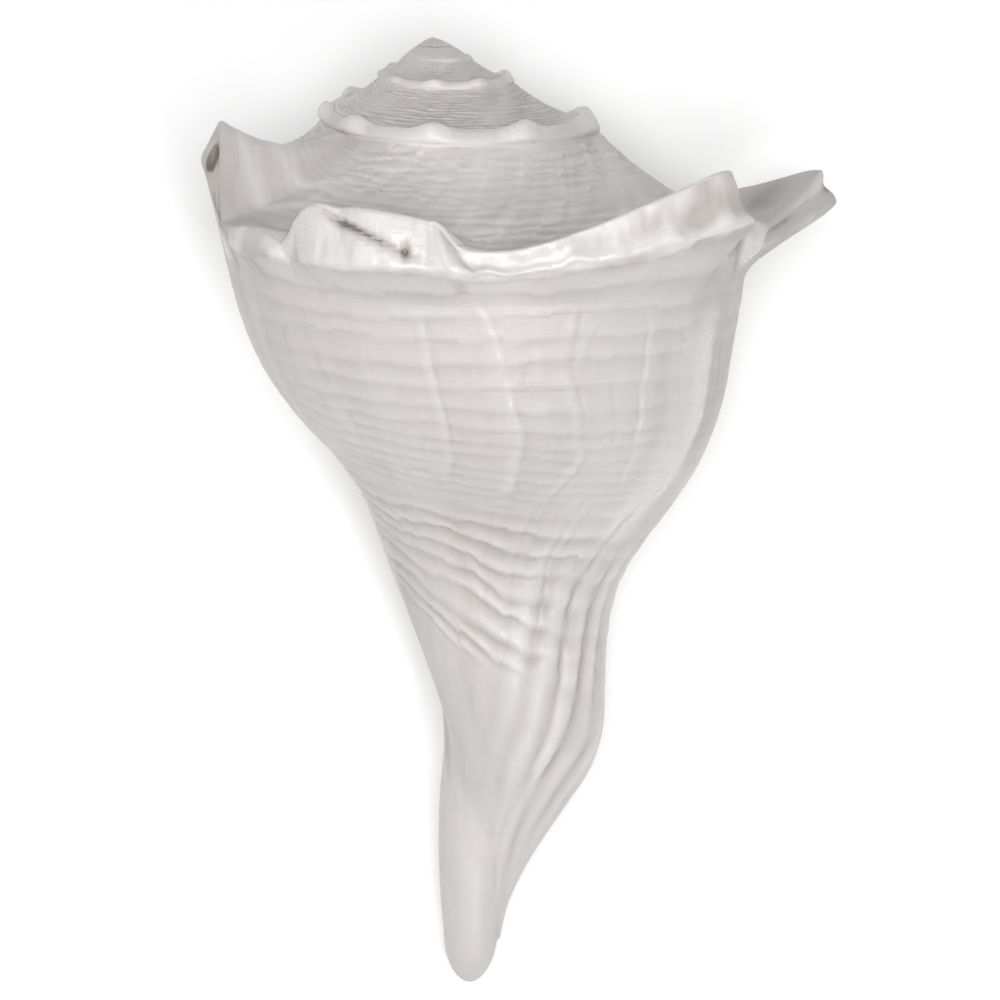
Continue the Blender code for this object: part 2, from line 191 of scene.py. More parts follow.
def noise(x, y, seed):
    """Smooth noise from -1 to 1, with one knot to a unit of x and of y."""
    x, y = np.broadcast_arrays(np.asarray(x, float), np.asarray(y, float))
    i, j = np.floor(x).astype(np.int64), np.floor(y).astype(np.int64)
    u, v = ease(x - i), ease(y - j)
    low = scattered(i, j, seed) * (1 - u) + scattered(i + 1, j, seed) * u
    high = scattered(i, j + 1, seed) * (1 - u) + scattered(i + 1, j + 1, seed) * u
    return low * (1 - v) + high * v


def grown(left, right, lip, turn):
    """A length at any turn, from what it is at the left side, the right side and the lip."""
    left, right, lip = np.log(left), np.log(right), np.log(lip)
    early = math.log(WHORL_GROWTH)
    half = RIGHT_TURN - LEFT_TURN
    late = (lip - right) / -RIGHT_TURN
    t = np.clip((turn - LEFT_TURN) / half, 0, 1)
    arriving = ((right - left) / half + late) / 2 * half
    between = curve(left, early * half, right, arriving, t)
    before = left + early * (turn - LEFT_TURN)
    after = right + late * (turn - RIGHT_TURN)
    return np.exp(np.where(turn < LEFT_TURN, before, np.where(turn > RIGHT_TURN, after, between)))


def whorl(turn, row):
    """Distance from the axis and depth of a row of the outline."""
    turn, row = np.broadcast_arrays(np.asarray(turn, float), np.asarray(row, float))
    p = through(OUTLINE, row)
    radius = grown(p[..., 0], p[..., 2], p[..., 4], turn)
    depth = grown(p[..., 1], p[..., 3], p[..., 5], turn)
    return radius, depth * (1 - SPIRE_FLAT * ease((LEFT_TURN - turn) / 0.5))


def size(turn):
    """How large the whorl is at a turn, against its size at the lip."""
    return whorl(turn, KEEL)[0] / OUTLINE[KEEL][4]


def pillar(turn, depth):
    """Radius of the pillar, which is slimmer inside the mouth."""
    rows = np.interp(depth, [p[0] for p in PILLAR], np.arange(len(PILLAR)))
    near_end = np.clip((depth - TIP_DEPTH + TIP_ROUND) / TIP_ROUND, 0, 1)
    slim = PILLAR_IN_MOUTH + (1 - PILLAR_IN_MOUTH) * ease((turn + 1) / 0.22)
    return through(PILLAR, rows)[..., 1] * np.sqrt(1 - near_end**2) * slim


def place(turn, radius, depth):
    azimuth = math.radians(LIP_AZIMUTH) + 2 * math.pi * turn
    bend = np.clip((depth - BEND_FROM) / (TIP_DEPTH - BEND_FROM), 0, 1) ** 1.3 * BEND_LEFT
    x = radius * np.cos(azimuth) - bend
    return np.stack(np.broadcast_arrays(x, radius * np.sin(azimuth), -depth), axis=-1)


def spine_push(turn, distance):
    """How far spines and knobs push the surface outwards and upwards. The distance from the keel is
    in mm at the lip's size, below 0 on the ramp."""
    turn, distance = np.broadcast_arrays(turn, distance)
    scale = size(turn)
    knob_below = OUTLINE[JOIN][5] - OUTLINE[KEEL][5]
    bumps = [spine + (SPINE_BELOW, 1) for spine in SPINES]
    knob_turns = np.arange(KNOB_LAST, -1 - SPIRE_TURNS, -KNOB_STEP)
    bumps += [(turn_of_knob,) + KNOB + (knob_below, scale) for turn_of_knob in knob_turns]
    face = np.clip(distance / SPINE_RIM, 0, 1)
    soft = np.sqrt(distance**2 + 0.8**2) - 0.8

    def reach(above, below):
        """What is left of a push, by the distance from the keel."""
        up_ramp = np.clip(1 - soft / above, 0, 1) ** 1.5
        return np.where(distance < 0, up_ramp, ease((below - distance) / (below - SPINE_RIM)))

    out, up = np.zeros_like(scale), np.zeros_like(scale)
    for at, crest, rim, rise, fall, hollow, above, below, times in bumps:
        away = turn - at - RIM_LATER * face * (times == 1)
        before = np.clip(1 - np.sqrt(np.minimum(away, 0) ** 2 + TIP_SOFT**2) / rise, 0, 1) ** hollow
        push = before * (1 - ease(away / fall)) * reach(above, below) * times
        out += push * (crest[0] + (rim[0] - crest[0]) * face)
        up += push * (crest[1] + (rim[1] - crest[1]) * face)
    crest, rim, above, below = SWELLING
    push = reach(above, below) * scale
    push = push * ease((SWELLING_FROM - turn) / 0.06) * ease((turn - SWELLING_TO) / 0.4)
    out += push * (crest[0] + (rim[0] - crest[0]) * face)
    up += push * (crest[1] + (rim[1] - crest[1]) * face)
    return out, up


def below_keel(row):
    """How far a row lies below the keel, in mm at the lip's size."""
    return through(OUTLINE, np.asarray(row, float))[..., 5] - OUTLINE[KEEL][5]


def body_point(turn, row):
    """The outside from the keel to the end of the canal, without its fine relief."""
    radius, depth = whorl(turn, row)
    out, up = spine_push(turn, below_keel(row))
    radius = larger(radius, pillar(turn, depth), PILLAR_BLEND) + out
    return place(turn, radius, depth - up)


def lead(share):
    return LIP_LEAD * (1 - share)


def ramp_profile(turn, share):
    """Distance from the axis and depth on the ramp, which is hollow like a saucer. The share is 0
    at the suture and 1 at the keel."""
    ahead = turn + lead(share)
    suture_r, suture_z = whorl(ahead - 1, JOIN)
    keel_r, keel_z = whorl(ahead, KEEL)
    across, down = keel_r - suture_r, keel_z - suture_z
    sag = 0.05 * np.sin(math.pi * share)
    return suture_r + across * share - sag * down, suture_z + down * share + sag * across


def ramp_width(turn):
    """From the suture to the keel, in mm at the lip's size."""
    keel_r, keel_z = whorl(turn, KEEL)
    suture_r, suture_z = whorl(turn - 1, JOIN)
    return np.hypot(keel_r - suture_r, keel_z - suture_z) / size(turn)


def ramp_point(turn, share):
    ahead = turn + lead(share)
    radius, depth = ramp_profile(turn, share)
    out, up = spine_push(turn, (share - 1) * ramp_width(ahead))
    join_out, join_up = spine_push(ahead - 1, below_keel(JOIN))
    near = (1 - share) ** 4
    return place(ahead, radius + out + join_out * near, depth - up - join_up * near)


def pillar_point(turn, share, end_depth):
    """The pillar from the end of the canal's wall, at share 0, to end_depth at share 1."""
    wall_r, wall_z = whorl(turn, CANAL_END)
    depth = wall_z + (end_depth - wall_z) * share
    return place(turn, larger(wall_r - (depth - wall_z), pillar(turn, depth)), depth)


# Grooves round the body, as rows of the outline at these turns: each line of numbers is one groove,
# from the top down. The first ones bound flat cords, the others the ridges of the whorl's foot.
GROOVE_TURNS = (-0.40, -0.31, -0.24)
CORD_GROOVES = (
    (0.95, 0.95, 0.9),
    (1.45, 1.38, 1.3),
    (1.92, 1.84, 1.75),
    (2.4, 2.32, 2.24),
    (2.85, 2.74, 2.65),
    (3.24, 3.2, 3.17),
    (3.6, 3.62, 3.65),
    (3.9, 3.98, 4.05),
    (4.18, 4.28, 4.35),
    (4.44, 4.52, 4.6),
    (4.7, 4.78, 4.85),
    (4.95, 5.02, 5.1),
    (5.2, 5.28, 5.35),
    (5.5, 5.55, 5.6),
    (5.82, 5.9, 6.00),
)
RIDGE_TURNS = (-0.43, -0.37, -0.32, -0.28, -0.24)
RIDGE_GROOVES = (
    (5.82, 5.6, 5.62, 5.7, 5.72),
    (6.22, 5.94, 5.98, 6.12, 6.14),
    (6.66, 6.34, 6.42, 6.6, 6.62),
    (7.00, 6.8, 6.86, 7.1, 7.14),
    (7.42, 7.26, 7.4, 7.8, 7.84),
    (7.84, 7.8, 7.98, 8.44, 8.5),
    (8.28, 8.5, 8.66, 9.04, 9.14),
    (8.8, 9.06, 9.36, 9.6, 9.7),
    (9.22, 9.6, 9.96, 10.3, 10.36),
    (9.66, 10.06, 10.4, 10.8, 10.84),
)
CORD_HEIGHT, RIDGE_HEIGHT = 0.33, 0.66  # mm
CREST_AT, RIDGE_CREST_AT = 0.80, 0.62  # where they are highest, as a share of their width

# Growth lines of the body: depth and half width of the groove in mm, how high its two banks stand,
# earlier and later in growth, and its course as turns and rows
GROWTH_LINES = (
    (0.22, 1.2, 0.1, 0.0, ((-0.43, 2.36), (-0.421, 3.56), (-0.408, 4.2), (-0.4, 4.88))),
    (0.12, 0.35, 0.0, 0.06, ((-0.412, 3.92), (-0.406, 4.68))),
    (0.32, 0.55, 0.22, 0.0, ((-0.347, 1.9), (-0.34, 3.16), (-0.333, 3.88), (-0.336, 5.36))),
    (0.14, 0.4, 0.05, 0.05, ((-0.35, 3.6), (-0.353, 4.6))),
    (0.3, 0.6, 0.28, 0.0, ((-0.309, 1.6), (-0.299, 2.48), (-0.285, 4.08), (-0.286, 5.4))),
    (0.22, 0.6, 0.26, 0.04, ((-0.254, 1.6), (-0.256, 2.72), (-0.238, 4.56), (-0.256, 5.5))),
    (0.1, 0.5, 0.12, 0.0, ((-0.242, 1.92), (-0.251, 2.68))),
    (0.26, 0.5, 0.0, 0.1, ((-0.23, 3.0), (-0.228, 3.56), (-0.221, 4.3))),
    (0.24, 0.6, 0.0, 0.26, ((-0.209, 1.7), (-0.208, 2.8), (-0.203, 4.44), (-0.207, 5.1))),
    (0.14, 0.6, 0.08, 0.06, ((-0.179, 2.1), (-0.172, 3.56), (-0.167, 4.2), (-0.174, 5.4))),
    (0.22, 0.7, 0.1, 0.05, ((-0.137, 2.0), (-0.124, 3.08), (-0.118, 4.1))),
    (0.52, 0.8, 0.3, 0.25, ((-0.165, 5.6), (-0.176, 7.04), (-0.193, 9.16), (-0.219, 12.4), (-0.216, 12.9))),
    (0.58, 0.9, 0.3, 0.25, ((-0.14, 7.4), (-0.16, 9.6), (-0.2, 12.7), (-0.183, 14.2), (-0.168, 14.8))),
    (0.26, 0.5, 0.12, 0.12, ((-0.229, 5.4), (-0.232, 6.08), (-0.232, 8.48), (-0.24, 9.4))),
    (0.2, 0.45, 0.06, 0.06, ((-0.222, 6.3), (-0.225, 8.3))),
    (0.3, 0.9, 0.1, 0.1, ((-0.115, 10.8), (-0.153, 12.2), (-0.149, 13.0), (-0.152, 13.9))),
    (0.3, 0.6, 0.1, 0.1, ((-0.225, 13.8), (-0.223, 14.6), (-0.205, 15.8))),
    (0.1, 1.4, 0.08, 0.08, ((-0.341, 10.4), (-0.328, 11.6), (-0.31, 12.3), (-0.262, 13.5))),
    (0.16, 0.5, 0.05, 0.05, ((-0.262, 5.6), (-0.268, 7.0), (-0.27, 9.4))),
    (0.16, 0.6, 0.05, 0.05, ((-0.3, 6.0), (-0.303, 7.6), (-0.3, 8.9))),
    (0.12, 0.5, 0.05, 0.0, ((-0.385, 2.6), (-0.378, 4.2), (-0.37, 5.6))),
    (0.14, 0.6, 0.04, 0.0, ((-0.455, 2.2), (-0.448, 4.0), (-0.44, 5.8), (-0.43, 7.6))),
    (0.3, 0.8, 0.15, 0.1, ((-0.095, 2.4), (-0.088, 4.6), (-0.11, 7.2), (-0.14, 10.6))),
    (0.3, 0.8, 0.15, 0.1, ((-0.052, 2.4), (-0.046, 5.0), (-0.06, 8.2), (-0.09, 12.0))),
    (0.3, 0.8, 0.15, 0.1, ((-0.565, 2.4), (-0.56, 5.0), (-0.545, 8.2), (-0.53, 11.0))),
    (0.3, 0.8, 0.15, 0.1, ((-0.64, 2.2), (-0.63, 5.0), (-0.615, 8.0), (-0.6, 11.0))),
    (0.3, 0.8, 0.15, 0.1, ((-0.735, 2.2), (-0.725, 5.0), (-0.71, 8.0), (-0.7, 11.0))),
    (0.3, 0.8, 0.15, 0.1, ((-0.81, 2.2), (-0.8, 5.0), (-0.78, 8.0))),
)

# A thickened rim of an earlier lip: its course, height in mm, and its slopes' widths in mm
OLD_LIP = ((-0.151, 1.80), (-0.153, 2.64), (-0.149, 4.04), (-0.155, 5.04), (-0.166, 5.90))
OLD_LIP_HEIGHT, OLD_LIP_SLOPES = 0.9, (14.0, 7.5)

# Grooves round the ramp at three turns, as shares of its width
RAMP_TURNS = (-0.49, -0.41, -0.32)
RAMP_GROOVES = (
    (0.02, 0.02, 0.03),
    (0.09, 0.07, 0.1),
    (0.15, 0.13, 0.16),
    (0.2, 0.2, 0.2),
    (0.25, 0.26, 0.25),
    (0.29, 0.31, 0.3),
    (0.34, 0.37, 0.36),
    (0.4, 0.43, 0.42),
    (0.47, 0.49, 0.48),
    (0.53, 0.55, 0.54),
    (0.59, 0.61, 0.6),
    (0.66, 0.68, 0.67),
    (0.74, 0.76, 0.76),
    (0.84, 0.86, 0.86),
    (0.99, 0.99, 0.99),
)
RAMP_CORD_HEIGHT = 0.62  # mm
RAMP_CORD_WAVE = 0.62  # how far the grooves wander, as a share of the cords' width
RAMP_RADIUS = 45  # mm from the axis, where the ramp's growth lines are measured
RAMP_RIDGES_AT = -0.530  # the turn of two slanted ridges by the left spine
RAMP_RIDGES = ((0.70, 3.4), (0.45, 3.0))  # their shares of the ramp there, and how they slant

# Growth lines of the ramp, as those of the body, their course as turns and shares
RAMP_LINES = (
    (-0.5, 1.0, 0.0, 0.0, ((-0.331, 0.08), (-0.328, 0.5), (-0.325, 0.86))),
    (-0.42, 0.9, 0.0, 0.0, ((-0.364, 0.2), (-0.361, 0.45), (-0.357, 0.72))),
    (-0.25, 1.6, 0.0, 0.0, ((-0.3, 0.06), (-0.298, 0.6))),
    (0.16, 0.6, 0.1, 0.05, ((-0.395, 0.3), (-0.402, 0.75))),
    (0.12, 1.6, 0.16, 0.1, ((-0.435, 0.05), (-0.445, 0.24), (-0.455, 0.45))),
    (0.1, 1.4, 0.1, 0.1, ((-0.47, 0.1), (-0.478, 0.35), (-0.486, 0.6))),
    (0.14, 0.6, 0.1, 0.1, ((-0.32, 0.1), (-0.318, 0.45))),
    (0.14, 0.6, 0.1, 0.1, ((-0.285, 0.1), (-0.28, 0.6))),
    (0.2, 0.8, 0.15, 0.1, ((-0.24, 0.1), (-0.232, 0.7))),
    (0.2, 0.8, 0.15, 0.1, ((-0.1, 0.15), (-0.105, 0.75))),
    (0.2, 0.8, 0.15, 0.1, ((-0.64, 0.15), (-0.65, 0.75))),
    (0.2, 0.8, 0.15, 0.1, ((-0.78, 0.15), (-0.79, 0.75))),
)

# Forms of the shoulder, each a bump or a hollow: middle as turn and mm below the keel (above it if
# less than 0), half sizes in turns and mm, height in mm, and how far it slants, in turns for each mm
SHOULDER_FORMS = (
    (-0.324, 2.4, 0.008, 2.0, 0.8, 0.0),
    (-0.324, 5.4, 0.004, 1.6, -0.4, 0.0),
    (-0.378, 0.85, 0.026, 0.14, -2.4, 0.62),
    (-0.353, 1.35, 0.0025, 0.35, -1.7, 0.0),
    (-0.44, 0.9, 0.01, 0.9, 0.6, 0.0),
    (-0.52, 5.0, 0.012, 3.4, 0.8, 0.0),
    (-0.502, 5.5, 0.0035, 3.0, -0.5, 0.0),
    (-0.464, 4.6, 0.004, 3.0, -0.35, 0.0),
    (-0.473, 4.6, 0.003, 3.0, -0.25, 0.0),
    (-0.554, 0.9, 0.0045, 0.9, -2.0, 0.0),
    (-0.548, 5.6, 0.004, 0.8, -1.2, 0.0),
    (-0.112, 0.6, 0.01, 3.6, 2.6, 0.0),
    (-0.124, 2.0, 0.003, 4.0, -0.8, 0.0),
    (-0.08, 0.45, 0.022, 0.4, 0.5, 0.0),
    (-0.08, 1.3, 0.02, 0.4, -0.4, 0.0),
    (-0.06, 0.8, 0.005, 0.5, -1.2, 0.0),
)


# The front's worn faces below the keel: turns from and to, mm from the keel to the ledge, and how high
# the ledge, the hollow above it, the ragged crest, the small lumps and the swells are, in mm
FACE_FROM, FACE_TO = -0.335, -0.165
LEDGE_AT, LEDGE_UP, LEDGE_HOLLOW = 1.9, 0.9, 0.5
RAGGED, LUMPS, SWELLS = 0.5, 0.17, 0.60

# The rounded tops of the spire's knobs, in mm, with their half width in turns
KNOB_TOP, KNOB_TOP_ABOVE, KNOB_TOP_TALL, KNOB_TOP_WIDE = 1.5, 1.0, 3.6, 0.017

# Tone, paler or darker, as if the relief was that much higher or lower, mm. Worn keels and faces are paler,
# the spire is darker all over, the patches and spots are the ramp's, and the ramp's top is paler. The lip,
# by-lip, left and line terms are painted shade: darker at the lip, on the body next to the lip, on the left
# flank, and in a line running just above the keel where the flange shades the ramp.
TONE_KEEL, TONE_SPIRE, TONE_FACES = 0.40, -0.12, 0.45
SHADE_LIP, SHADE_BY_LIP, SHADE_LEFT = -0.30, -0.24, -0.22
TONE_PATCHES, TONE_SPOTS, SHADE_LINE, TONE_RAMP_TOP = 0.16, 0.14, -0.30, 0.24
KEEL_TONE_WIDE = 7.0  # mm
LINE_AT, LINE_WIDE = -4.5, 3.0  # mm from the keel


def shingle(x, crest_at):
    """The height across a cord or ridge, which is highest just above its lower edge."""
    rise = np.clip(x / crest_at, 0, 1) ** 1.3
    return np.where(x < crest_at, rise, ease((1 - x) / (1 - crest_at)))


def cells(x, y, seed):
    """Noise that keeps its value over most of a unit of x, and then steps."""
    x = np.asarray(x, float)
    whole = np.floor(x)
    return noise(whole + ease((x - whole - 0.38) * 4), y, seed)


def bands(turn, row, turns, grooves, seed, wave, crest_at=CREST_AT):
    """Cords or ridges between grooves, from -0.5 to 0.5, each with its own waves and strength."""
    turn, row = np.broadcast_arrays(turn, row)
    height = np.zeros(row.shape)
    lines = []
    for n, groove in enumerate(grooves):
        gap = groove[1] - grooves[max(n - 1, 0)][1] or 0.4
        wander = 0.8 * noise(turn * 26, n * 3.1, seed) + 0.5 * cells(turn * 72, n * 1.7, seed + 1)
        lines.append(np.interp(turn, turns, groove) + wave * min(gap, 0.5) * wander)
    for n, (above, below) in enumerate(zip(lines, lines[1:])):
        x = (row - above) / np.maximum(below - above, 1e-3)
        strength = 0.85 + 0.5 * noise(turn * 17, n * 2.3, seed + 2)
        strength += 0.35 * cells(turn * 72, n * 5.1, seed + 3)
        inside = (x >= 0) & (x < 1)
        height = np.where(inside, np.clip(strength, 0.1, 1.3) * (shingle(x, crest_at) - 0.5), height)
    return height


def line_relief(turn, row, lines, around, seed):
    """Growth lines: grooves with banks. The way around is in mm to a turn."""
    height = np.zeros(np.broadcast(turn, row).shape)
    for n, (depth, width, before, after, course) in enumerate(lines):
        at, rows = zip(*course)
        wander = 0.0028 * noise(row * 1.5, n * 3.3, seed) + 0.0012 * noise(row * 5, n * 2.1, seed + 1)
        x = (turn - np.interp(row, rows, at) - wander) * around
        span = (rows[-1] - rows[0]) * 0.12
        fade = ease((row - rows[0]) / span + 0.5) * ease((rows[-1] - row) / span + 0.5)
        fade = fade * (0.7 + 0.5 * noise(row * 2.5, n * 1.9, seed + 2))
        groove = -0.75 * depth * bell(x, width)
        banks = before * bell(x + 3.0 * width, 2.4 * width)
        banks += after * bell(x - 2.2 * width, 1.4 * width)
        height += fade * (groove + banks)
    return height


def old_lip(turn, row, around):
    """The rim of an earlier lip: a gentle rise and a steep fall."""
    at, rows = zip(*OLD_LIP)
    x = (turn - np.interp(row, rows, at)) * around
    fade = ease((row - 1.6) / 1.2) * ease((7.2 - row) / 2.0)
    before = np.clip(1 + x / OLD_LIP_SLOPES[0], 0, 1) ** 1.6
    after = 1 - ease(x / OLD_LIP_SLOPES[1])
    return OLD_LIP_HEIGHT * fade * np.where(x < 0, before, after)


def shoulder_forms(turn, distance):
    """Bumps and hollows at the keel. The distance is in mm below it."""
    height = np.zeros(np.broadcast(turn, distance).shape)
    for at, down, wide, tall, rise, slant in SHOULDER_FORMS:
        y = (distance - down - (turn - at) * slant / wide) / tall
        x = (turn - at) / wide
        height += rise * np.exp(-((x * x + y * y) ** 1.4))
    return height


def wrinkles(turn, row):
    """Growth lines all over the whorl, at uneven distances."""
    t = turn + 0.010 * noise(turn * 3, row * 0.45, 31)
    fine = noise(t * 190, row * 0.35, 32)
    middle = noise(t * 74, row * 0.25, 33)
    broad = noise(t * 27, row * 0.20, 34)
    sides = 1 + 1.2 * ease((-0.42 - turn) / 0.06)
    return 0.035 * fine + (0.06 * middle + 0.16 * broad) * sides


def canal_folds(turn, row):
    """The last whorl's overlapping folds along the canal, at its lip's side."""
    slope = np.interp(row, (5, 9, 12.6, 15), (0.0, -0.02, -0.055, -0.04))
    side = ease((turn - slope + 0.29) / 0.10) * ease((row - 6) / 2.5) * ease((15.5 - row) / 4)
    return 0.20 * side * np.cos(2 * math.pi * (turn - slope) * 26)


def body_relief(turn, row):
    """Height of the fine relief from the keel down, in mm at the lip's size."""
    around = 2 * math.pi * through(OUTLINE, np.asarray(row, float))[..., 4]
    distance = below_keel(row)
    front = ease((turn + 0.50) / 0.10) * ease((-0.14 - turn) / 0.06)
    cord = bands(turn, row, GROOVE_TURNS, CORD_GROOVES, 11, 0.22) * (0.35 + 0.65 * front)
    side = ease((-0.165 - turn + 0.012 * (6 - row)) / 0.03)
    fold = bands(turn, row, RIDGE_TURNS, RIDGE_GROOVES, 21, 0.30, RIDGE_CREST_AT) * (0.3 + 0.7 * side)
    fold *= ease((row - 5.7) / 0.9) * ease((10.5 - row) / 0.8)
    height = CORD_HEIGHT * cord + RIDGE_HEIGHT * fold
    height += line_relief(turn, row, GROWTH_LINES, around, 51)
    height += old_lip(turn, row, around)
    height += wrinkles(turn, row) * ease((row - 0.9) / 0.8) * (1 - 0.35 * ease((row - 9.0) / 3.0))
    height += canal_folds(turn, row)
    return height + shoulder_forms(turn, distance) + rough_face(turn, distance)


def wear_and_painted_shade(turn, distance):
    """How much paler or darker than its relief tells a place is: worn keels and broken faces are pale, the
    spire is a little darker all over, and the ramp has uneven patches and spots and a paler top. The
    darkening at the lip, on the body next to it, on the left flank and in a line just above the keel is
    painted shade. The distance is from the keel, as for the spines."""
    keel = bell(distance - 1.0, KEEL_TONE_WIDE)
    uneven = 0.7 + 0.5 * noise(turn * 30, distance * 0.2, 83)
    spire = ease((-0.96 - turn) / 0.04) * (TONE_KEEL * keel * uneven + TONE_SPIRE)
    faces = TONE_FACES * ease((turn + 0.415) / 0.01) * ease((FACE_TO - turn) / 0.01)
    faces = faces * ease((distance + 0.6) / 0.6) * ease((4.0 - distance) / 2.0)
    # painted shade at the lip and on the body next to it
    lip = SHADE_LIP * ease((turn + 0.13) / 0.03) * ease((12 - distance) / 12)
    lip = lip + SHADE_BY_LIP * ease((turn + 0.23) / 0.07) * ease((55 - distance) / 20)
    # painted shade on the left flank
    left = SHADE_LEFT * ease((-0.44 - turn) / 0.05) * ease((turn + 1) / 0.1)
    ramp = TONE_PATCHES * noise(turn * 24, distance * 0.09, 81)
    ramp += TONE_SPOTS * noise(turn * 90 + distance * 0.12, distance * 0.05, 82)
    # painted shade in a line on the ramp just above the keel, behind the flange
    ramp += SHADE_LINE * bell(distance - LINE_AT, LINE_WIDE) * ease((turn + 0.40) / 0.05)
    top = ease((-distance - 26) / 12) * ease((turn + 0.52) / 0.06) * ease((-0.27 - turn) / 0.05)
    ramp += TONE_RAMP_TOP * top
    return spire + faces + lip + left + ramp * (distance < 0) * ease((turn + 1.5) / 0.3)


def rough_face(turn, distance):
    """The worn faces below the keel: lumps and swells, and in front a ledge and a ragged crest."""
    face = ease((distance + 1.5) / 1.5) * ease((5.0 - distance) / 3.0) * ease((turn + 0.60) / 0.02)
    lumps = noise(turn * 210, distance * 0.55, 61) + 0.6 * noise(turn * 480, distance * 1.3, 62)
    swells = noise(turn * 55, distance * 0.3, 63) + 0.5 * noise(turn * 120, distance * 0.45, 64)
    front = ease((turn - FACE_FROM) / 0.02) * ease((FACE_TO - turn) / 0.01)
    ledge_at = LEDGE_AT + 0.5 * noise(turn * 34, 0.5, 65) + 0.3 * noise(turn * 110, 0.5, 66)
    ledge = LEDGE_UP * bell(distance - ledge_at, 0.32)
    ledge = ledge - LEDGE_HOLLOW * bell(distance - ledge_at + 0.8, 0.5)
    ragged = RAGGED * noise(turn * 130, 0.5, 67) * bell(distance, 0.7)
    return face * (LUMPS * lumps + SWELLS * swells) + front * (ledge + ragged)


def spire_knobs(turn, distance):
    """The rounded tops of the upper whorls' knobs."""
    height = np.zeros(np.broadcast(turn, distance).shape)
    for at in np.arange(KNOB_LAST, -1 - SPIRE_TURNS, -KNOB_STEP):
        y = bell(distance + KNOB_TOP_ABOVE, KNOB_TOP_TALL)
        height += KNOB_TOP * y * bell(turn - at, KNOB_TOP_WIDE)
    return ease((-1 - turn) / 0.03) * ease((turn - FIRST_RELIEF) / 1.2) * height


def ramp_relief(turn, share):
    """Height of the fine relief on the ramp: wavy cords crossed by slanted growth lines."""
    edge = ease(share / 0.06) * ease((1 - share) / 0.05)
    cord = bands(turn, share, RAMP_TURNS, RAMP_GROOVES, 41, RAMP_CORD_WAVE)
    around = 2 * math.pi * RAMP_RADIUS
    lines = 0.05 * noise(turn * 150, share * 1.2, 44) + 0.10 * noise(turn * 48, share * 1.1, 45)
    quiet = 1 - 0.6 * bell(turn - RAMP_RIDGES_AT, 0.035) - 0.4 * ease((turn + 0.27) / 0.06)
    quiet = quiet * (0.8 + 0.5 * noise(turn * 14, share * 2.6, 46))
    height = RAMP_CORD_HEIGHT * cord * quiet + lines + line_relief(turn, share, RAMP_LINES, around, 71)
    ridge = 0
    for at, slope in RAMP_RIDGES:
        ridge += 0.5 * bell(share - at + slope * (turn - RAMP_RIDGES_AT), 0.05)
    ridge *= bell(turn - RAMP_RIDGES_AT, 0.04)
    distance = (share - 1) * ramp_width(turn)
    top = ease((turn - FIRST_RELIEF) / 0.5)
    cords = edge * (height + ridge) * (1 + 0.3 * ease((-0.85 - turn) / 0.2))
    return top * (cords + shoulder_forms(turn, distance) + spire_knobs(turn, distance))


class Grid:
    """Blocks of points and faces, with a turn and a row for each corner of a face."""

    def __init__(self):
        self.points, self.heights, self.count = [], [], 0
        self.faces, self.corners = [], []

    def add(self, points, heights=None):
        points = np.asarray(points, float)
        ids = np.arange(self.count, self.count + points[..., 0].size)
        self.points.append(points.reshape(-1, 3))
        self.heights.append(np.zeros(len(ids)) if heights is None else np.ravel(heights))
        self.count += len(ids)
        return ids.reshape(points.shape[:-1])

    def face(self, ids, where):
        if len(set(ids)) == len(ids):
            self.faces.append(list(ids))
            self.corners.extend(where)
            return
        kept = [k for k in range(len(ids)) if ids[k] not in ids[:k]]
        if len(kept) > 2:
            self.faces.append([ids[k] for k in kept])
            self.corners.extend(where[k] for k in kept)

    def strip(self, one, other, turns, row, next_row):
        """Faces between two lists of points, at these turns and at two rows. Where points are
        shared, a face loses a corner."""
        for k in range(len(one) - 1):
            a, b = turns[k], turns[k + 1]
            where = ((a, row), (b, row), (b, next_row), (a, next_row))
            self.face((one[k], one[k + 1], other[k + 1], other[k]), where)


def whorl_turns():
    """The turns at which the columns stand, from the lip back, closer at the front."""
    fine = np.linspace(0, -1, 2001)
    near = ease((fine - FRONT_FROM) / 0.06) * ease((FRONT_TO - fine) / 0.03)
    weight = 1 + (FRONT_CLOSER - 1) * near
    total = np.concatenate([[0], np.cumsum((weight[1:] + weight[:-1]) / 2)])
    turns = [np.interp(np.linspace(0, total[-1], WHORL_COLUMNS[0] + 1), total, fine)]
    for whorls, columns in enumerate(WHORL_COLUMNS[1:], 1):
        turns.append(-whorls - np.arange(1, columns + 1) / columns)
    return np.concatenate(turns)


def grid_rows():
    """Ramp shares, collar rows and body rows."""
    shares = np.linspace(0, 1, RAMP_ROWS + 1)[1:]
    collar = np.linspace(KEEL, JOIN, COLLAR_ROWS + 1)[1:] ** 1.25
    upper = np.linspace(JOIN, LOWER_FROM, UPPER_ROWS + 1)[1:]
    lower = np.linspace(LOWER_FROM, CANAL_END, LOWER_ROWS + 1)[1:]
    return shares, collar, np.concatenate([upper, lower])


def normals_of(points):
    """Outward normals of a block of points: columns back in growth, rows down."""
    normal = np.cross(np.gradient(points, axis=0), np.gradient(points, axis=1))
    return normal / np.maximum(np.linalg.norm(normal, axis=-1, keepdims=True), 1e-9)


def nearest(turns, at):
    """Index of the column nearest to a turn. Turns run down."""
    index = np.searchsorted(-turns, -np.asarray(at))
    index = np.clip(index, 1, len(turns) - 1)
    before = np.abs(turns[index - 1] - at) < np.abs(turns[index] - at)
    return index - before


def mouth_lead(row):
    """By how many turns the mouth's edge leads on the whorl within, at a row."""
    return LIP_LEAD * np.clip(1 - (row - JOIN) / 5.0, 0, 1)


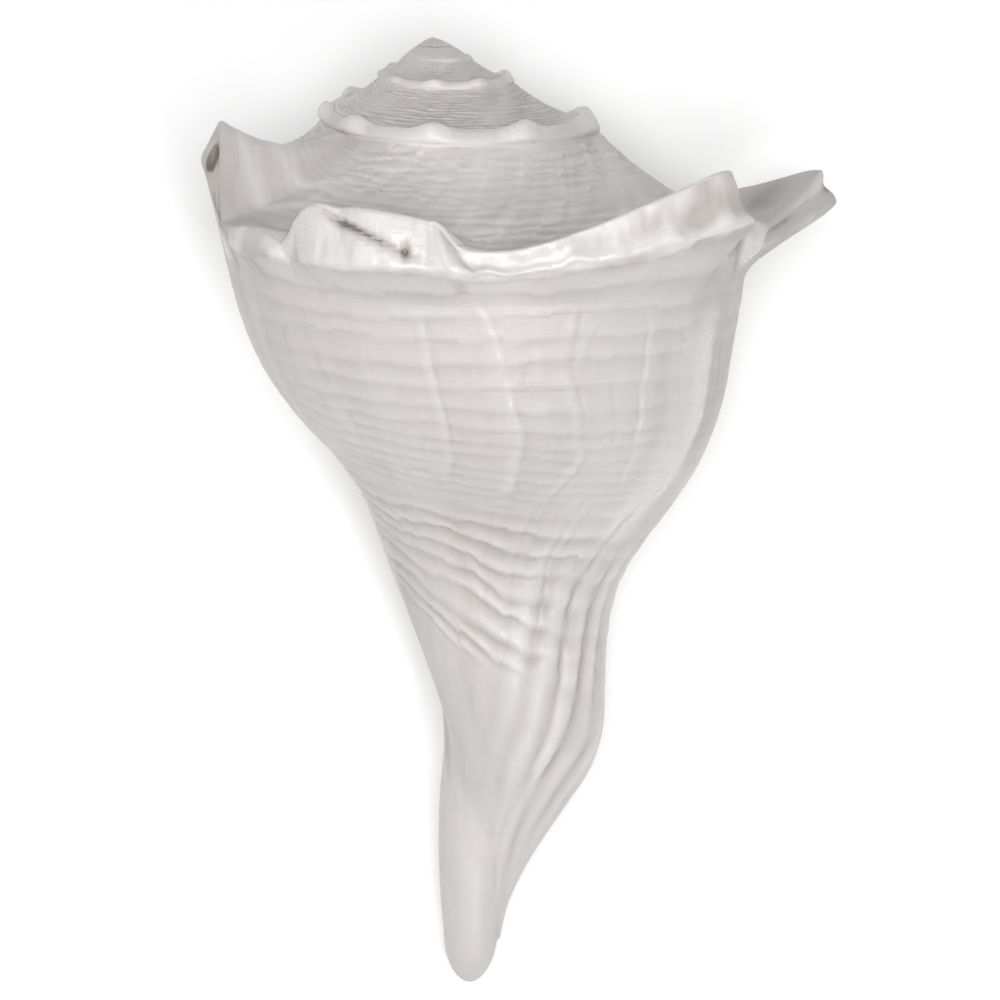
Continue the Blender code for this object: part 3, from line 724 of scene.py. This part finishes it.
def softened(points, turns):
    """Rounds the edges of spines and keels, more so on the worn upper whorls and at SOFTEN_AT."""
    early = ease((-0.95 - turns) / 0.1) + SOFTEN_ALSO * bell(turns - SOFTEN_AT, SOFTEN_WIDE)
    early = early[:, None, None]
    for step in range(SOFTEN_UPPER):
        share = 1.0 if step < SOFTEN_LAST else early
        between = (points[:, :-2] + points[:, 2:]) / 2 - points[:, 1:-1]
        points[:, 1:-1] += 0.5 * share * between
    return points


def rounded_apex(points):
    """Smooths the first whorls into a small dome."""
    across = np.hypot(points[..., 0], points[..., 1])
    dome = -APEX_SLOPE * across**2 / (across + APEX_ROUND)
    share = ease((APEX_WITHIN - across) / APEX_BLEND)
    points = points.copy()
    points[..., 2] = points[..., 2] * (1 - share) + dome * share
    return points


def build_outside(grid, turns, shares, collar, rows):
    """The outside of the whorls. Returns the ids of its columns, from the suture down."""
    t = turns[:, None]
    ramp = ramp_point(t, shares[None])
    neck = body_point(t, collar[None])
    upper = softened(np.concatenate([ramp, neck], axis=1), turns)
    last = WHORL_COLUMNS[0]
    t_last = t[: last + 1]
    body = body_point(t_last, rows[None])
    whole = np.concatenate([upper[: last + 1], body], axis=1)
    normal_upper, normal_whole = normals_of(upper), normals_of(whole)
    seam = ease((turns + 1 - LIP_LEAD) / SEAM_UPPER)[:, None]
    scale = size(turns)[:, None]
    neck_rise = body_relief(t, collar[None]) * seam
    neck_rise += spire_knobs(t, below_keel(collar)[None]) * ease((JOIN - collar) / 0.3)
    rise = np.concatenate([ramp_relief(t, shares[None]), neck_rise], axis=1)
    upper = upper + normal_upper * (rise * scale)[..., None]
    seam_body = ease((t_last + 1 - mouth_lead(rows)[None]) / SEAM_BODY)
    rise_body = body_relief(t_last, rows[None]) * seam_body
    body = body + normal_whole[:, upper.shape[1]:] * (rise_body * scale[: last + 1])[..., None]
    ramp_distance = (shares[None] - 1) * ramp_width(t)
    distance = np.concatenate([ramp_distance, below_keel(collar) + t * 0], axis=1)
    # The relief layer gets the relief's height plus its tone, painted shade among it; the material turns it
    # into colour.
    upper_ids = grid.add(rounded_apex(upper), rise + wear_and_painted_shade(t, distance))
    body_ids = grid.add(body, rise_body + wear_and_painted_shade(t_last, below_keel(rows)[None]))
    apex = grid.add([[0.0, 0.0, 0.0]])[0]
    join = upper.shape[1] - 1
    joined_at = turns + LIP_LEAD - 1
    sutures = np.where(joined_at >= turns[-1], upper_ids[nearest(turns, joined_at), join], apex)
    columns = np.concatenate([sutures[:, None], upper_ids], axis=1)
    levels = np.concatenate([[-1.0], shares - 1, collar])
    for row in range(columns.shape[1] - 1):
        one, other = columns[:, row].tolist(), columns[:, row + 1].tolist()
        grid.strip(one, other, turns, levels[row], levels[row + 1])
    end = [int(i) for i in columns[-1]]
    middle = [(turns[-1], level) for level in levels]
    for k in range(1, len(end) - 1):
        grid.face((end[0], end[k], end[k + 1]), (middle[0], middle[k], middle[k + 1]))
    full = np.concatenate([columns[: last + 1], body_ids], axis=1)
    edges = nearest(turns[: last + 1], mouth_lead(np.append(JOIN, rows)) - 1)
    levels = np.append(levels, rows)
    first = columns.shape[1] - 1
    for k in range(len(rows)):
        upper_line = full[: edges[k] + 1, first + k].tolist()
        lower_line = full[: edges[k + 1] + 1, first + k + 1].tolist()
        upper_line += upper_line[-1:] * (len(lower_line) - len(upper_line))
        grid.strip(upper_line, lower_line, turns, levels[first + k], levels[first + k + 1])
    return full, edges


def build_tip(grid, turns, full):
    """The pillar below the canal's wall. Returns its points along the edge of the mouth."""
    last = WHORL_COLUMNS[0]
    around = turns[: last + 1]
    upper = full[:, -1].tolist()
    end = upper[0]
    end_depth = OUTLINE[CANAL_END][5]
    edge = []
    level = CANAL_END
    for share in np.linspace(0, 1, TIP_ROWS + 1)[1:] ** 0.8:
        lower = [end] + grid.add(pillar_point(around[1:], share, end_depth)).tolist()
        if share == 1:
            lower[-1] = end
        edge.append(lower[-1])
        next_level = CANAL_END + share
        grid.strip(upper, lower, around, level, next_level)
        upper, level = lower, next_level
    for step in range(1, END_ROWS + 1):
        angle = step / END_ROWS * math.pi / 2
        depth = end_depth + (TIP_DEPTH - end_depth) * math.sin(angle)
        lower = grid.add(place(around[:-1], pillar(around[:-1], depth), depth)).tolist()
        if step == END_ROWS:
            lower = [grid.add([[-BEND_LEFT, 0, -TIP_DEPTH]])[0].item()] * last
        lower.append(lower[0])
        next_level = CANAL_END + 1 + step * 0.1
        grid.strip(upper, lower, around, level, next_level)
        upper, level = lower, next_level
    return edge


def inset(line, wall, count):
    """A line of radius and depth set in by the wall, without the loop that a corner would make."""
    step = np.gradient(line, axis=0)
    length = np.hypot(step[:, 0], step[:, 1])
    inner = line + np.stack([-step[:, 1], step[:, 0]], axis=1) * (wall / length)[:, None]
    gap = np.hypot(*(inner[:, None] - line[None]).transpose(2, 0, 1)).min(axis=1)
    inner = inner[gap > 0.97 * wall]
    along = np.concatenate([[0], np.cumsum(np.hypot(*np.diff(inner, axis=0).T))])
    at = np.linspace(0, along[-1], count)
    return np.stack([np.interp(at, along, inner[:, 0]), np.interp(at, along, inner[:, 1])], axis=1)


def hollow_line(turn, count):
    """The inside of the outer wall at one turn: the outside without its spines, set in."""
    shares, rows = np.linspace(0.02, 1, 90), np.linspace(KEEL, CANAL_END, 240)[1:-1]
    ramp = np.stack(ramp_profile(turn, shares), axis=1)
    body = np.stack(whorl(turn, rows), axis=1)
    wall = LIP_WALL + (WALL - LIP_WALL) * ease(-turn / 0.15)
    canal = ease((np.append(shares * 0, rows) - 7) / 6)
    wall = (wall + (CANAL_WALL - wall) * canal) * size(turn)
    line = inset(np.concatenate([ramp, body]), wall, count)
    ahead = turn + LIP_LEAD * np.interp(np.arange(count), [0, count * 0.25], [1, 0])
    radius = larger(line[:, 0], pillar(turn - 1, line[:, 1]) + 1.0, 0.3)
    return place(ahead, radius, line[:, 1])


def build_hollow(grid, turns, full, edges, rows, tip_edge):
    """The lip's rim and the hollow that winds back from it."""
    lip = full[0].tolist()
    first = full.shape[1] - len(rows)
    inner = [int(full[edges[k + 1], first + k]) for k in range(len(rows))] + tip_edge[:-1]
    azimuth = math.radians(LIP_AZIMUTH)
    ahead = np.array((-math.sin(azimuth), math.cos(azimuth), 0)) * LIP_ROUND
    count = len(lip) - 2
    line = hollow_line(0.0, count)
    outside = np.concatenate(grid.points)[lip[1:-1]]
    rim = lip
    where = [0.0] * len(rim), HOLLOW_LEVEL, HOLLOW_LEVEL
    for share, push in ((0.15, 0.6), (0.5, 1.0), (0.85, 0.6)):
        ring = grid.add(outside * (1 - share) + line * share + ahead * push).tolist()
        ring = [lip[0]] + ring + [lip[-1]]
        grid.strip(rim, ring, *where)
        rim = ring
    outer = grid.add(line).tolist()
    grid.strip(rim, [inner[0]] + outer + [inner[-1]], *where)
    lead_here = mouth_lead(rows)
    end_shares = np.linspace(0, 1, TIP_ROWS + 1)[1:-1] ** 0.8
    loop = None
    for i in range(HOLLOW_LOOPS + 1):
        turn = -HOLLOW_TURNS * i / HOLLOW_LOOPS
        if i:
            outer = grid.add(hollow_line(turn, count)).tolist()
            inner = grid.add(body_point(turn - 1 + lead_here, rows)).tolist()
            end_depth = whorl(turn, CANAL_END)[1]
            inner += grid.add(pillar_point(turn - 1, end_shares, end_depth)).tolist()
        deeper = inner[:1] + outer + inner[::-1]
        if loop:
            grid.strip(loop, deeper, [turn] * len(loop), HOLLOW_LEVEL, HOLLOW_LEVEL)
        loop = deeper
    outer = inner[:1] + outer + inner[-1:]
    opposite = np.linspace(0, len(inner) - 1, len(outer)).round().astype(int)
    opposite = [inner[k] for k in opposite]
    grid.strip(outer, opposite, [turn] * len(outer), HOLLOW_LEVEL, HOLLOW_LEVEL)


def rest_rotation():
    turn = Matrix.Rotation(math.radians(REST_TURN), 3, "Z")
    return Matrix.Rotation(math.radians(REST_SLOPE - 90), 3, "X") @ turn


def apex_place():
    """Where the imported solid's apex lies: its furthest point along its axis."""
    axis = rest_rotation() @ Vector((0, 0, 1))
    return max((v.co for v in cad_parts["shell"].data.vertices), key=axis.dot).copy()


def lay_down(points):
    """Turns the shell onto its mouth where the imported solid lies, its feet worn flat."""
    points = points @ np.array(rest_rotation()).T * MM + np.array(apex_place())
    points[:, 2] = np.maximum(points[:, 2], 0)
    return points


def build_shell():
    grid = Grid()
    turns = whorl_turns()
    shares, collar, rows = grid_rows()
    full, edges = build_outside(grid, turns, shares, collar, rows)
    tip_edge = build_tip(grid, turns, full)
    build_hollow(grid, turns, full, edges, rows, tip_edge)
    mesh = bpy.data.meshes.new("shell_surface")
    mesh.from_pydata(lay_down(np.concatenate(grid.points)).tolist(), [], grid.faces)
    layer = mesh.uv_layers.new(name="growth")
    layer.data.foreach_set("uv", np.array(grid.corners, np.float32).ravel())
    corner_points = np.concatenate([np.array(face) for face in grid.faces])
    heights = np.concatenate(grid.heights)[corner_points]
    layer = mesh.uv_layers.new(name="relief")
    layer.data.foreach_set("uv", np.stack([heights, heights * 0], 1).astype(np.float32).ravel())
    work = bmesh.new()
    work.from_mesh(mesh)
    bmesh.ops.triangulate(work, faces=work.faces, quad_method="SHORT_EDGE")
    bmesh.ops.recalc_face_normals(work, faces=work.faces)
    work.to_mesh(mesh)
    work.free()
    shell = bpy.data.objects.new("shell_surface", mesh)
    bpy.context.scene.collection.objects.link(shell)
    fewer(shell)
    shell.data.shade_smooth()
    return shell


def fewer(piece):
    """Brings a piece under MOST_TRIANGLES triangles, keeping its form."""
    triangles = len(piece.data.polygons)
    if triangles <= MOST_TRIANGLES:
        return
    modifier = piece.modifiers.new("fewer", "DECIMATE")
    modifier.ratio = MOST_TRIANGLES / triangles
    evaluated = piece.evaluated_get(bpy.context.evaluated_depsgraph_get())
    mesh = bpy.data.meshes.new_from_object(evaluated)
    piece.modifiers.clear()
    old, piece.data = piece.data, mesh
    bpy.data.meshes.remove(old)
    mesh.name = "shell_surface"


class Nodes:
    """A material's node tree, with its nodes added from left to right."""

    def __init__(self, tree):
        self.tree = tree

    def add(self, kind, values=(), **settings):
        node = self.tree.nodes.new("ShaderNode" + kind)
        for name, value in settings.items():
            setattr(node, name, value)
        for name, value in dict(values).items():
            if isinstance(value, bpy.types.NodeSocket):
                self.tree.links.new(value, node.inputs[name])
            else:
                node.inputs[name].default_value = value
        return node

    def layer(self, name, scale):
        """A coordinate layer of the mesh, stretched."""
        source = self.add("UVMap", uv_map=name)
        return self.add("Mapping", {"Vector": source.outputs[0], "Scale": scale}).outputs[0]

    def noise(self, vector, scale, detail=3.0, roughness=0.55):
        values = {"Vector": vector, "Scale": scale, "Detail": detail, "Roughness": roughness}
        return self.add("TexNoise", values).outputs[0]

    def spread(self, value, low, high, to_low=0.0, to_high=1.0):
        values = {"Value": value, "From Min": low, "From Max": high}
        values.update({"To Min": to_low, "To Max": to_high})
        return self.add("MapRange", values, clamp=True).outputs[0]

    def maths(self, operation, a, b):
        return self.add("Math", {0: a, 1: b}, operation=operation).outputs[0]

    def mixed(self, factor, one, other):
        values = {0: factor, 6: one, 7: other}
        return self.add("Mix", values, data_type="RGBA").outputs[2]


# Colours of the shell
WHITE = (0.640, 0.612, 0.598, 1)  # the weathered surface
CREST = (0.745, 0.719, 0.707, 1)  # the worn crests of cords, ridges and knobs
GROOVE = (0.490, 0.462, 0.442, 1)  # the grooves, where a little dirt stays, and the painted shade of the darker tone terms
WARM = (0.636, 0.600, 0.582, 1)  # patches with a trace of the shell's own colour
SPECK_AND_SLIT_SHADE = (0.16, 0.14, 0.12, 1)  # pin-head pits, and painted shade: the deepest slits painted near black

# Where the surface is glossier: turns and rows from and to, and by how much
GLOSSY = (
    (-0.42, -0.27, 6.8, 10.2),
    (-0.35, -0.28, 1.4, 3.8),
    (-0.40, -0.17, -0.02, 1.2),
)
GLOSS, GLOSS_FADE = 0.20, (0.02, 0.6)  # fades over so many turns and rows
GLOSS_ABOVE = 0.02, 0.22  # mm of relief


def shell_material():
    material = bpy.data.materials.new("shell_white")
    material.use_nodes = True
    tree = material.node_tree
    shader = tree.nodes["Principled BSDF"]
    nodes = Nodes(tree)
    place_3d = nodes.add("TexCoord").outputs["Object"]
    height = nodes.add("SeparateXYZ", {0: nodes.layer("relief", (1, 1, 1))}).outputs[0]
    striae = nodes.noise(nodes.layer("growth", (260.0, 0.9, 1.0)), 1.0, 4.0, 0.6)
    threads = nodes.noise(nodes.layer("growth", (16.0, 26.0, 1.0)), 1.0, 3.0, 0.6)
    patches = nodes.noise(place_3d, 38.0, 4.0, 0.55)
    grain = nodes.noise(place_3d, 1400.0, 3.0, 0.6)
    dust = nodes.noise(place_3d, 260.0, 5.0, 0.65)

    crests = nodes.spread(height, 0.03, 0.42, 0.0, 0.9)
    # darker in the grooves, where dirt stays, and painted shade where the tone is below zero
    hollows = nodes.spread(height, -0.42, 0.0, 0.9, 0.0)
    colour = nodes.mixed(nodes.spread(patches, 0.42, 0.72), WHITE, WARM)
    colour = nodes.mixed(crests, colour, CREST)
    colour = nodes.mixed(hollows, colour, GROOVE)
    # painted shade: the deepest slits and pockets of the broken spines, and the lowest tone, turn near
    # black
    colour = nodes.mixed(nodes.spread(height, -1.35, -0.85, 0.85, 0.0), colour, SPECK_AND_SLIT_SHADE)
    colour = nodes.mixed(nodes.spread(striae, 0.50, 0.75, 0.0, 0.12), colour, GROOVE)
    colour = nodes.mixed(nodes.spread(dust, 0.56, 0.80, 0.0, 0.35), colour, GROOVE)
    cell = nodes.add("TexVoronoi", {"Vector": place_3d, "Scale": 62.0})
    spot = nodes.spread(cell.outputs["Distance"], 0.022, 0.030, 1.0, 0.0)
    chosen = nodes.add("SeparateXYZ", {0: cell.outputs["Color"]}).outputs[0]
    spot = nodes.maths("MULTIPLY", spot, nodes.maths("GREATER_THAN", chosen, 0.55))
    colour = nodes.mixed(spot, colour, SPECK_AND_SLIT_SHADE)
    tree.links.new(colour, shader.inputs["Base Color"])

    shine = nodes.spread(patches, 0.35, 0.65, 0.26, 0.40)
    shine = nodes.maths("ADD", shine, nodes.spread(dust, 0.45, 0.75, 0.0, 0.16))
    shine = nodes.maths("ADD", shine, nodes.spread(height, -0.4, 0.4, 0.10, -0.04))
    growth = nodes.add("SeparateXYZ", {0: nodes.layer("growth", (1, 1, 1))}).outputs
    for turn_from, turn_to, row_from, row_to in GLOSSY:
        inside = nodes.spread(growth[0], turn_from, turn_from + GLOSS_FADE[0])
        for value, low, high, start, stop in (
            (growth[0], turn_to - GLOSS_FADE[0], turn_to, 1.0, 0.0),
            (growth[1], row_from, row_from + GLOSS_FADE[1], 0.0, 1.0),
            (growth[1], row_to - GLOSS_FADE[1], row_to, 1.0, 0.0),
            (height, *GLOSS_ABOVE, 0.0, 1.0),
        ):
            inside = nodes.maths("MULTIPLY", inside, nodes.spread(value, low, high, start, stop))
        shine = nodes.maths("SUBTRACT", shine, nodes.maths("MULTIPLY", inside, GLOSS))
    tree.links.new(shine, shader.inputs["Roughness"])

    fine = nodes.maths("MULTIPLY", striae, 0.30)
    for pattern, share in ((threads, 0.55), (dust, 0.40), (grain, 0.05), (spot, -0.8)):
        fine = nodes.maths("ADD", fine, nodes.maths("MULTIPLY", pattern, share))
    bump = nodes.add("Bump", {"Height": fine, "Strength": 0.55, "Distance": 0.00028})
    tree.links.new(bump.outputs[0], shader.inputs["Normal"])
    return material


FLOOR_COLOUR, FLOOR_GLOW = (0.9, 0.9, 0.9, 1), 0.16
FLOOR_HALF = 3.0  # m


def floor_material():
    material = bpy.data.materials.new("floor_white")
    material.use_nodes = True
    shader = material.node_tree.nodes["Principled BSDF"]
    shader.inputs["Base Color"].default_value = FLOOR_COLOUR
    shader.inputs["Roughness"].default_value = 0.9
    shader.inputs["Emission Color"].default_value = (1, 1, 1, 1)
    shader.inputs["Emission Strength"].default_value = FLOOR_GLOW
    return material


def build_floor():
    mesh = bpy.data.meshes.new("floor")
    half = FLOOR_HALF
    corners = [(-half, -half, 0), (half, -half, 0), (half, half, 0), (-half, half, 0)]
    mesh.from_pydata(corners, [], [(0, 1, 2, 3)])
    mesh.materials.append(floor_material())
    floor = bpy.data.objects.new("floor", mesh)
    bpy.context.scene.collection.objects.link(floor)


# The view: degrees above the shell's level and of lean, mm to the middle of the axis, and where the
# apex stands in the picture, in pixels of its 1000
VIEW_UP, VIEW_LEAN, VIEW_DISTANCE = 13.0, 3.0, 1000.0
MIDDLE_DEPTH = 100.0
PICTURE, PIXEL = 1000, 0.2128  # pixels across, and mm to a pixel at the middle
APEX_AT = (432.5, 37.0)
SENSOR = 36.0


def view_axes():
    """Right, up and towards the camera, in the shell's own frame."""
    up_angle, lean = math.radians(VIEW_UP), math.radians(VIEW_LEAN)
    back = Vector((0, -math.cos(up_angle), math.sin(up_angle)))
    up = Vector((0, math.sin(up_angle), math.cos(up_angle)))
    right = Vector((1, 0, 0))
    return (
        right * math.cos(lean) - up * math.sin(lean),
        up * math.cos(lean) + right * math.sin(lean),
        back,
    )


def build_camera():
    right, up, back = view_axes()
    distance = VIEW_DISTANCE - MIDDLE_DEPTH * back.z
    focal = VIEW_DISTANCE / PIXEL
    across = (PICTURE / 2 - APEX_AT[0]) / focal * distance
    down = (APEX_AT[1] - PICTURE / 2) / focal * distance
    rotation = rest_rotation()
    place_of_camera = apex_place() + rotation @ (right * across + up * down + back * distance) * MM
    data = bpy.data.cameras.new("camera")
    data.sensor_width = SENSOR
    data.lens = focal / PICTURE * SENSOR
    data.clip_start, data.clip_end = 0.05, 20
    camera = bpy.data.objects.new("camera", data)
    turned = Matrix((rotation @ right, rotation @ up, rotation @ back)).transposed()
    camera.matrix_world = Matrix.Translation(place_of_camera) @ turned.to_4x4()
    bpy.context.scene.collection.objects.link(camera)
    bpy.context.scene.camera = camera


# Soft lights: degrees from the camera's direction, and round the picture from its right, and watts
LIGHTS = (
    ("front", 0.0, 0.0, 10.5),
    ("lower_right", 35.0, 315.0, 3.3),
    ("upper_left", 35.0, 135.0, 3.2),
    ("lower_left", 35.0, 225.0, 1.5),
    ("upper_right", 35.0, 45.0, 0.9),
    ("left", 68.0, 180.0, 0.9),
)
LIGHT_DISTANCE, LIGHT_ACROSS = 1.3, 0.7
GLINT = ("glint", 40.0, 300.0, 2.6)  # a smaller one, which the glossy ridges reflect
GLINT_ACROSS = 0.24


def add_light(name, tilt, azimuth, watts, across=LIGHT_ACROSS):
    """A square soft light that looks at the shell."""
    right, up, back = (rest_rotation() @ axis for axis in view_axes())
    slant, way = math.radians(tilt), math.radians(azimuth)
    side = right * math.cos(way) + up * math.sin(way)
    direction = back * math.cos(slant) + side * math.sin(slant)
    name = "light_" + name
    data = bpy.data.lights.new(name, "AREA")
    data.shape = "SQUARE"
    data.size = across
    data.energy = watts
    lamp = bpy.data.objects.new(name, data)
    turned = direction.to_track_quat("Z", "Y").to_matrix().to_4x4()
    lamp.matrix_world = Matrix.Translation(direction * LIGHT_DISTANCE) @ turned
    bpy.context.scene.collection.objects.link(lamp)


def build_light():
    """Soft light from the camera's side: a broad one in front, and weaker ones around it."""
    for light in LIGHTS:
        add_light(*light)
    add_light(*GLINT, across=GLINT_ACROSS)


def build_scene():
    shell = build_shell()
    shell.data.materials.append(shell_material())
    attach(shell, "root")
    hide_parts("shell")
    build_floor()
    build_camera()
    build_light()
    bpy.context.scene.view_settings.view_transform = "Standard"


build_scene()
